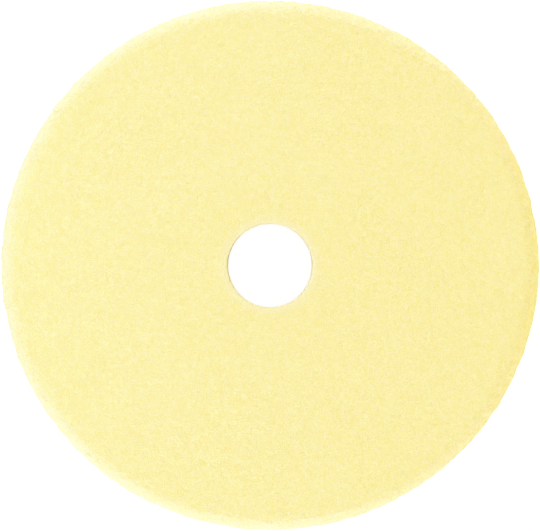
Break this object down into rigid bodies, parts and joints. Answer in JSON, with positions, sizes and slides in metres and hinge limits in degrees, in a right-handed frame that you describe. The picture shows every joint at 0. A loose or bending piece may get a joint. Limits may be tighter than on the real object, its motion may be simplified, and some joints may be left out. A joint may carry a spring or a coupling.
{
  "type": "foam polishing pad",
  "caption": "Round foam polishing pad: flat working face with a rounded rim, straight centre hole, sides that lean in to a loop fabric back for a hook-faced backing plate.",
  "frame": {"origin": "centre of the pad on its axis, in the plane of the loop tips that it lies on", "axes": "+Z along the pad's axis, out of the working face; the pad is round, so +X and +Y are any two directions square to it"},
  "size_m": [0.15, 0.15, 0.025],
  "materials": {
    "yellow_foam": "matte fine-celled open polyurethane foam, pale yellow",
    "hot_melt_film": "translucent milky hot-melt adhesive film",
    "loop_fabric": "off-white brushed polyamide loop fabric, warp knitted"
  },
  "bodies": {
    "root": {"foam_body": "yellow_foam", "adhesive_film": "hot_melt_film", "loop_fabric_ground": "loop_fabric", "loop_pile": "loop_fabric"}
  },
  "joints": []
}
